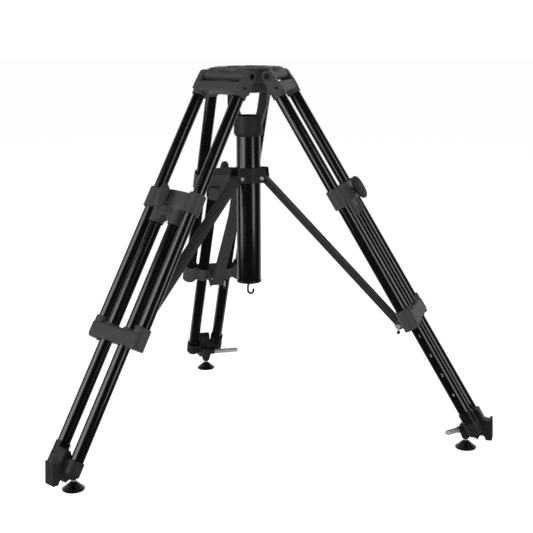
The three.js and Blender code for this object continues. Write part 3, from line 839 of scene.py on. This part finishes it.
def pad_outline(radius, neck, top):
    """Half section of a pad: sole with a groove, rim, ribbed cone and the socket of the ball."""
    corners = [(0, PAD_RECESS, 0), (radius - 7 * MM, PAD_RECESS, 0.3 * MM),
               (radius - 6 * MM, 0, 0.3 * MM), (radius - 1 * MM, 0, 0.6 * MM),
               (radius, 1.2 * MM, 0.6 * MM), (radius, 3.3 * MM, 0.8 * MM)]
    start = Vector((radius - 1.6 * MM, 3.9 * MM))
    end = Vector((neck, top))
    for k in range(PAD_RIBS):
        for t, lift in ((0.06, 0.0), (0.14, -0.5), (0.24, -0.5), (0.32, 0.0)):
            spot = start.lerp(end, (k + 3 * t) / (PAD_RIBS + 0.6))
            corners.append((spot.x, spot.y + lift * MM, 0.3 * MM))
    corners.append((neck, top, 0.6 * MM))
    outline = rounded(corners, closed=False, steps=4)
    for degrees in range(28, -91, -8):
        angle = math.radians(degrees)
        outline.append(Vector((max(0.0, PAD_SOCKET * math.cos(angle)),
                               BALL_CENTRE + PAD_SOCKET * math.sin(angle))))
    outline.append(Vector((0, BALL_CENTRE - PAD_SOCKET)))
    return outline


def foot_pads():
    for n in LEGS:
        node = f"foot_pad_{n}"
        place = foot_frame(n)
        high = extent(node, place)[1]
        mesh = revolve(node, pad_outline(high.y, PAD_NECK, high.z), 96, closed=False)
        finish_piece(node + "_moulded", mesh, place, node, RUBBER)


def foot_blocks():
    """Swivelling block with the ball under it, and a bright ferrule on its neck."""
    ferrule = rounded([(FERRULE_BORE, 0, 0), (FERRULE_RADIUS, 0, 0.5 * MM),
                       (FERRULE_RADIUS, FERRULE_HEIGHT, 0.5 * MM),
                       (FERRULE_BORE, FERRULE_HEIGHT, 0)])
    for n in LEGS:
        place = foot_frame(n)
        skin = cast_mesh(f"foot_boss_{n}", place, BLOCK_VOXEL, FINE_PASSES)
        finish_piece(f"foot_block_{n}", skin, place, f"foot_boss_{n}", DARK_CASTING, SMOOTH_ALL)
        at = shifted(place, 0, 0, BALL_CENTRE + FERRULE_ABOVE_BALL)
        add_detail(f"foot_ferrule_{n}", revolve("ferrule", ferrule, 40), at,
                   f"foot_swivel_{n}", STEEL)


def spikes():
    """Bright rod with a fine groove towards its tip and a blunt, bevelled end."""
    for n in LEGS:
        node = f"spike_{n}"
        place = rod_frame(n, node)
        low, high = extent(node, place)
        radius = high.x
        waist = radius - SPIKE_GROOVE
        groove = high.z - SPIKE_GROOVE_AT * (high.z - low.z)
        corners = [(0, low.z, 0), (radius, low.z, 0.3 * MM), (radius, groove, 0),
                   (waist, groove + 0.4 * MM, 0.2 * MM), (waist, groove + 1.6 * MM, 0.2 * MM),
                   (radius, groove + 2 * MM, 0), (radius, high.z - SPIKE_BEVEL, 0.8 * MM),
                   (0.62 * radius, high.z, 0.8 * MM), (0, high.z, 0)]
        mesh = revolve(node, rounded(corners, closed=False), SMALL_STEPS, closed=False)
        finish_piece(node + "_turned", mesh, place, node, STEEL)


# ================================ castings ================================
def leg_castings(family, material, place_of=leg_frame, voxel=CAST_VOXEL, passes=CAST_PASSES):
    """The same casting on every leg, skinned once and placed three times."""
    skin = cast_mesh(f"{family}_1", place_of(1), voxel, passes)
    for n in LEGS:
        finish_piece(f"{family}_{n}_cast", skin.copy(), place_of(n), f"{family}_{n}", material,
                     SMOOTH_ALL)


def single_casting(node, material):
    mesh = cast_mesh(node, Matrix())
    finish_piece(node + "_cast", mesh, Matrix(), node, material, SMOOTH_ALL)


# ================================ printed scale ================================
def wrapped_numeral(text, radius):
    """A numeral bent around a tube of the given radius. It faces along the frame's x axis."""
    curve = bpy.data.curves.new("numeral", "FONT")
    curve.body = text
    curve.size = NUMERAL_SIZE
    curve.align_x = "CENTER"
    curve.extrude = INK_THICKNESS
    writing = linked_object("numeral", curve)
    graph = bpy.context.evaluated_depsgraph_get()
    mesh = bpy.data.meshes.new_from_object(writing.evaluated_get(graph))
    bpy.data.objects.remove(writing)
    mesh.materials.clear()
    for vertex in mesh.vertices:
        angle = vertex.co.x / radius
        out = radius + INK_LIFT + vertex.co.z
        vertex.co = Vector((out * math.cos(angle), out * math.sin(angle), vertex.co.y))
    return mesh


def scale_numerals():
    """Numerals down one lower tube of each leg."""
    for n in LEGS:
        low, high = extent(f"inner_tube_{n}_cw", leg_frame(n))
        middle = (low + high) / 2
        radius = (high.y - low.y) / 2
        turned = (shifted(leg_frame(n), middle.x, middle.y, 0)
                  @ Matrix.Rotation(NUMERAL_ANGLE, 4, "Z"))
        for k, text in enumerate(NUMERALS):
            at = shifted(turned, 0, 0, NUMERAL_TOP + k * NUMERAL_STEP)
            add_detail(f"scale_{n}_{text}", wrapped_numeral(text, radius), at,
                       f"lower_leg_{n}", INK)


# ================================ studio ================================
def camera():
    data = bpy.data.cameras.new("camera")
    data.lens = LENS
    data.sensor_width = SENSOR_WIDTH
    data.shift_y = LENS_DROP
    data.clip_end = 50
    eye = linked_object("camera", data)
    rim = extent("bowl_ring")[1].z
    eye.location = (CAMERA_DISTANCE * math.sin(CAMERA_AZIMUTH),
                    -CAMERA_DISTANCE * math.cos(CAMERA_AZIMUTH), rim + CAMERA_ABOVE_RIM)
    eye.rotation_euler = (math.pi / 2, CAMERA_ROLL, CAMERA_PAN)
    bpy.context.scene.camera = eye
    # The lens is dropped only at this viewpoint. From any other place it looks straight ahead.
    curve = data.driver_add("shift_y")
    reading = curve.driver.variables.new()
    reading.name = "side"
    reading.targets[0].id = eye
    reading.targets[0].data_path = "location.x"
    curve.driver.type = "SCRIPTED"
    curve.driver.expression = f"{LENS_DROP} if abs(side - {eye.location.x:.5f}) < 0.0001 else 0.0"


def floor():
    """Pale floor under the feet, out to the horizon. Glossy surfaces don't see it."""
    level = CAD_BOX[0].z
    mesh = bpy.data.meshes.new("floor")
    mesh.from_pydata([(x * FLOOR_REACH, y * FLOOR_REACH, level)
                      for x, y in ((-1, -1), (1, -1), (1, 1), (-1, 1))], [], [(0, 1, 2, 3)])
    ground = linked_object("floor", mesh)
    f = Finish("pale_floor")
    f.set(Roughness=0.9, IOR=1.0, Base_Color=(FLOOR_WHITE, FLOOR_WHITE, FLOOR_WHITE, 1),
          Emission_Color=(1, 1, 1, 1), Emission_Strength=FLOOR_GLOW)
    mesh.materials.append(f.material)
    ground.visible_glossy = False


def softbox(name, azimuth, distance, height, width, tall, power, mirrored=True):
    """Rectangular light. Azimuth 0 is at the camera's side of the object, 90 to its right."""
    data = bpy.data.lights.new(name, "AREA")
    data.shape = "RECTANGLE"
    data.size = width
    data.size_y = tall
    data.energy = power
    lamp = linked_object(name, data)
    angle = math.radians(azimuth) + CAMERA_AZIMUTH
    lamp.location = (distance * math.sin(angle), -distance * math.cos(angle), height)
    lamp.rotation_euler = lamp.location.to_track_quat("Z", "Y").to_euler()
    lamp.visible_glossy = mirrored


def backdrop():
    """White behind the object. Glossy surfaces see it only where it stands, and dark elsewhere."""
    world = bpy.data.worlds.new("studio")
    bpy.context.scene.world = world
    world.use_nodes = True
    tree = world.node_tree
    ray = add_node(tree, "ShaderNodeLightPath").outputs
    straight_behind = (-math.sin(CAMERA_AZIMUTH), math.cos(CAMERA_AZIMUTH), 0)
    facing = add_node(tree, "ShaderNodeVectorMath", {
        0: add_node(tree, "ShaderNodeTexCoord").outputs["Generated"], 1: straight_behind},
        operation="DOT_PRODUCT")
    reflected = add_node(tree, "ShaderNodeMapRange", {
        "Value": facing.outputs["Value"], "From Min": REFLECTION_STARTS,
        "From Max": REFLECTION_FULL, "To Min": REFLECTED_DARK, "To Max": REFLECTED_WHITE})
    lit = add_node(tree, "ShaderNodeMix", {
        "Factor": ray["Is Glossy Ray"], "A": AMBIENT, "B": reflected.outputs["Result"]})
    seen = add_node(tree, "ShaderNodeMix", {
        "Factor": ray["Is Camera Ray"], "A": lit.outputs["Result"], "B": SEEN_WHITE})
    tree.links.new(seen.outputs["Result"], tree.nodes["Background"].inputs["Strength"])
    tree.nodes["Background"].inputs["Color"].default_value = (1, 1, 1, 1)


def studio():
    camera()
    floor()
    backdrop()
    softbox("left_wall", azimuth=-62, distance=3.0, height=0.5, width=2.8, tall=3.6, power=50)
    softbox("right_strip", azimuth=48, distance=3.0, height=0.5, width=1.2, tall=3.2, power=17)
    softbox("right_wall", azimuth=100, distance=3.0, height=0.8, width=2.2, tall=3.0, power=20,
            mirrored=False)
    softbox("top_soft", azimuth=-10, distance=0.8, height=2.6, width=1.6, tall=1.6, power=14,
            mirrored=False)
    bpy.context.scene.view_settings.view_transform = "Standard"


# ================================ the whole tripod ================================
leg_tubes()
centre_column()
column_end_cap()
ballast_hook()
bowl()
hinge_bolts()
hub_pins()
brace_levers()
clamp_knobs()
foot_bumpers()
foot_pads()
foot_blocks()
spikes()
leg_castings("shoulder", CASTING)
leg_castings("leg_clamp", CASTING)
leg_castings("mid_bracket", CASTING)
leg_castings("foot_casting", DARK_CASTING)
leg_castings("brace", BRACE_PAINT, brace_frame, BRACE_VOXEL, FINE_PASSES)
single_casting("top_casting", CASTING)
# The yoke and the hub take the same darker coat as the foot castings, so they show darker than the other castings.
single_casting("column_yoke", DARK_CASTING)
single_casting("spreader_hub", DARK_CASTING)
scale_numerals()
studio()
